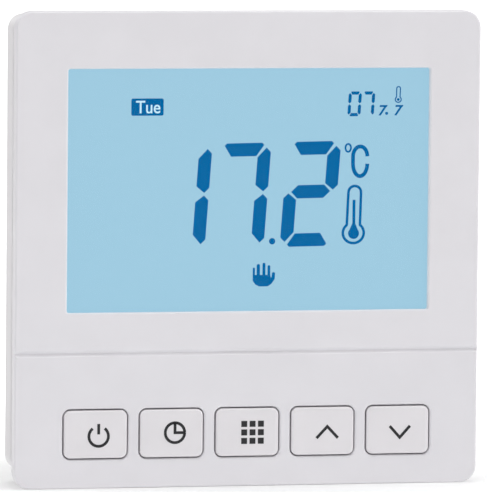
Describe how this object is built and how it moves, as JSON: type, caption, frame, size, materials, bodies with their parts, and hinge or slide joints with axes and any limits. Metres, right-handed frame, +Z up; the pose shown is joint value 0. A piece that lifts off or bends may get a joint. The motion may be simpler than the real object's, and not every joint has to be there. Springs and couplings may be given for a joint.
{
  "type": "programmable wall timer",
  "caption": "Square programmable room timer and thermostat: front half with display and keys on a base plate with an in-wall housing.",
  "frame": {"origin": "on the wall plane, at the centre of the front cover's square outline", "axes": "+X right as seen from the room, +Y into the wall, +Z up"},
  "size_m": [0.086, 0.04, 0.086],
  "materials": {
    "white_cover": "fine satin texture",
    "white_keys": "smooth satin",
    "white_base": "satin",
    "clear_window": "clear, polished",
    "display_glass": "smooth, lit from behind",
    "clear_guide": "clear, polished",
    "opal_plastic": "satin",
    "grey_rubber": "matte",
    "circuit_board": "satin solder mask",
    "black_plastic": "satin",
    "red_plastic": "semi-gloss",
    "blue_plastic": "semi-gloss",
    "yellow_tape": "satin",
    "green_plastic": "satin",
    "glass_tube": "clear",
    "zinc_steel": "zinc plated",
    "bright_steel": "polished",
    "brass_plate": "plated"
  },
  "bodies": {
    "base": {"base_plate": "white_base", "rear_housing": "white_base", "power_board": "circuit_board", "socket_header": "black_plastic", "relay": "blue_plastic", "transformer": "yellow_tape", "film_capacitor": "red_plastic", "smoothing_capacitor": "black_plastic", "varistor": "blue_plastic", "fuse": "glass_tube", "terminal_block": "green_plastic", "housing_screw_1": "zinc_steel", "housing_screw_2": "zinc_steel", "housing_screw_3": "zinc_steel", "housing_screw_4": "zinc_steel"},
    "front_half": {"front_cover": "white_cover", "display_lens": "clear_window", "lcd_cell": "display_glass", "lcd_holder": "opal_plastic", "diffuser_sheet": "opal_plastic", "light_guide": "clear_guide", "reflector_sheet": "opal_plastic", "zebra_strip": "grey_rubber", "backlight_led_left": "opal_plastic", "backlight_led_right": "opal_plastic", "display_board": "circuit_board", "microcontroller": "black_plastic", "clock_crystal": "bright_steel", "backup_cell": "bright_steel", "cell_clip": "brass_plate", "air_sensor": "black_plastic", "board_header": "black_plastic", "key_switch_1": "black_plastic", "key_switch_2": "black_plastic", "key_switch_3": "black_plastic", "key_switch_4": "black_plastic", "key_switch_5": "black_plastic", "board_screw_1": "zinc_steel", "board_screw_2": "zinc_steel", "board_screw_3": "zinc_steel", "board_screw_4": "zinc_steel"},
    "power_button": {"power_key": "white_keys", "key_plunger_1": "red_plastic"},
    "clock_button": {"clock_key": "white_keys", "key_plunger_2": "red_plastic"},
    "menu_button": {"menu_key": "white_keys", "key_plunger_3": "red_plastic"},
    "up_button": {"up_key": "white_keys", "key_plunger_4": "red_plastic"},
    "down_button": {"down_key": "white_keys", "key_plunger_5": "red_plastic"},
    "clamp_screw_1": {"terminal_screw_1": "zinc_steel"},
    "clamp_cage_1": {"terminal_clamp_1": "brass_plate"},
    "clamp_screw_2": {"terminal_screw_2": "zinc_steel"},
    "clamp_cage_2": {"terminal_clamp_2": "brass_plate"},
    "clamp_screw_3": {"terminal_screw_3": "zinc_steel"},
    "clamp_cage_3": {"terminal_clamp_3": "brass_plate"},
    "clamp_screw_4": {"terminal_screw_4": "zinc_steel"},
    "clamp_cage_4": {"terminal_clamp_4": "brass_plate"}
  },
  "joints": [
    {"name": "front_pull", "type": "slide", "parent": "base", "child": "front_half", "axis": [0, -1, 0], "range_m": [0, 0.03]},
    {"name": "power_press", "type": "slide", "parent": "front_half", "child": "power_button", "axis": [0, 1, 0], "range_m": [0, 0.0005], "stiffness_N_per_m": 3200, "springref_m": -0.0003},
    {"name": "clock_press", "type": "slide", "parent": "front_half", "child": "clock_button", "axis": [0, 1, 0], "range_m": [0, 0.0005], "stiffness_N_per_m": 3200, "springref_m": -0.0003},
    {"name": "menu_press", "type": "slide", "parent": "front_half", "child": "menu_button", "axis": [0, 1, 0], "range_m": [0, 0.0005], "stiffness_N_per_m": 3200, "springref_m": -0.0003},
    {"name": "up_press", "type": "slide", "parent": "front_half", "child": "up_button", "axis": [0, 1, 0], "range_m": [0, 0.0005], "stiffness_N_per_m": 3200, "springref_m": -0.0003},
    {"name": "down_press", "type": "slide", "parent": "front_half", "child": "down_button", "axis": [0, 1, 0], "range_m": [0, 0.0005], "stiffness_N_per_m": 3200, "springref_m": -0.0003},
    {"name": "clamp_screw_1_turn", "type": "hinge", "parent": "base", "child": "clamp_screw_1", "pos_m": [-0.01143, 0.0159, -0.0193], "axis": [0, 1, 0], "range_deg": [0, 1008]},
    {"name": "clamp_cage_1_rise", "type": "slide", "parent": "base", "child": "clamp_cage_1", "axis": [0, 1, 0], "range_m": [0, 0.0014]},
    {"name": "clamp_screw_2_turn", "type": "hinge", "parent": "base", "child": "clamp_screw_2", "pos_m": [-0.00381, 0.0159, -0.0193], "axis": [0, 1, 0], "range_deg": [0, 1008]},
    {"name": "clamp_cage_2_rise", "type": "slide", "parent": "base", "child": "clamp_cage_2", "axis": [0, 1, 0], "range_m": [0, 0.0014]},
    {"name": "clamp_screw_3_turn", "type": "hinge", "parent": "base", "child": "clamp_screw_3", "pos_m": [0.00381, 0.0159, -0.0193], "axis": [0, 1, 0], "range_deg": [0, 1008]},
    {"name": "clamp_cage_3_rise", "type": "slide", "parent": "base", "child": "clamp_cage_3", "axis": [0, 1, 0], "range_m": [0, 0.0014]},
    {"name": "clamp_screw_4_turn", "type": "hinge", "parent": "base", "child": "clamp_screw_4", "pos_m": [0.01143, 0.0159, -0.0193], "axis": [0, 1, 0], "range_deg": [0, 1008]},
    {"name": "clamp_cage_4_rise", "type": "slide", "parent": "base", "child": "clamp_cage_4", "axis": [0, 1, 0], "range_m": [0, 0.0014]}
  ],
  "couplings": [
    {"joint": "clamp_screw_1_turn", "follows": "clamp_cage_1_rise", "rad_per_m": 12566},
    {"joint": "clamp_screw_2_turn", "follows": "clamp_cage_2_rise", "rad_per_m": 12566},
    {"joint": "clamp_screw_3_turn", "follows": "clamp_cage_3_rise", "rad_per_m": 12566},
    {"joint": "clamp_screw_4_turn", "follows": "clamp_cage_4_rise", "rad_per_m": 12566}
  ]
}
